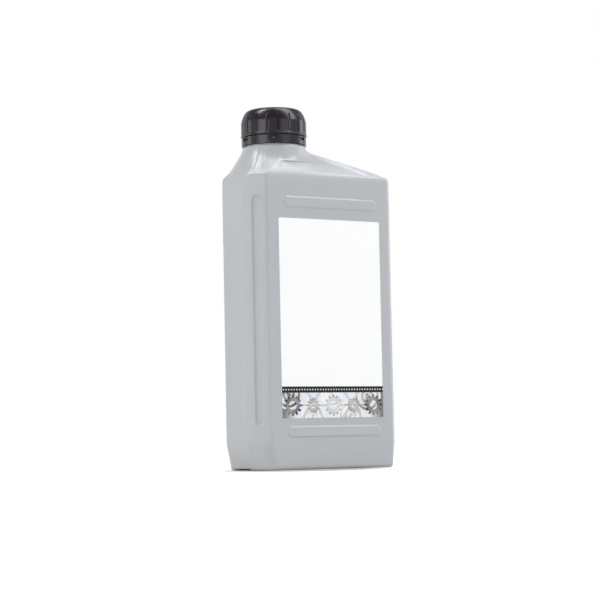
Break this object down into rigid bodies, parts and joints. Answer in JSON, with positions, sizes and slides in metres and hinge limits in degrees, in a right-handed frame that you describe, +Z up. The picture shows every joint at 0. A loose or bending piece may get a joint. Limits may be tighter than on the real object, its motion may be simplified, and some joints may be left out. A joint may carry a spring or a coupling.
{
  "type": "oil bottle",
  "caption": "Flat one-litre oil bottle with an offset neck, a grip-ribbed screw cap on a tamper ring, slanted corners with grooves, and a plain label.",
  "frame": {"origin": "under the middle of the base, on the surface that the bottle stands on", "axes": "+Z up, +X to the right as one faces the front label, -Y out of the front label"},
  "size_m": [0.1122, 0.0524, 0.2431],
  "materials": {
    "bottle_plastic": "silver grey, satin",
    "cap_plastic": "black, glossy",
    "liner_foam": "white foam",
    "oil": "amber, liquid",
    "label_film": "white film",
    "ink_black": "black print",
    "ink_pale": "pale grey print",
    "ink_grey": "dark grey print"
  },
  "bodies": {
    "filled_bottle": {"bottle": "bottle_plastic", "tamper_ring": "cap_plastic", "gear_oil": "oil", "front_label": "label_film", "back_label": "label_film", "label_band": "ink_black", "label_strip": "ink_pale", "label_wheels": "ink_grey"},
    "liner": {"cap_liner": "liner_foam"},
    "cap": {"screw_cap": "cap_plastic"}
  },
  "joints": [
    {"name": "cap_lift", "type": "slide", "parent": "filled_bottle", "child": "liner", "axis": [0, 0, 1], "range_m": [0, 0.018]},
    {"name": "cap_turn", "type": "hinge", "parent": "liner", "child": "cap", "pos_m": [-0.0226, 0, 0.2238], "axis": [0, 0, 1], "range_deg": [0, 1440]}
  ],
  "couplings": [
    {"joint": "cap_lift", "follows": "cap_turn", "m_per_rad": 0.0007162}
  ]
}
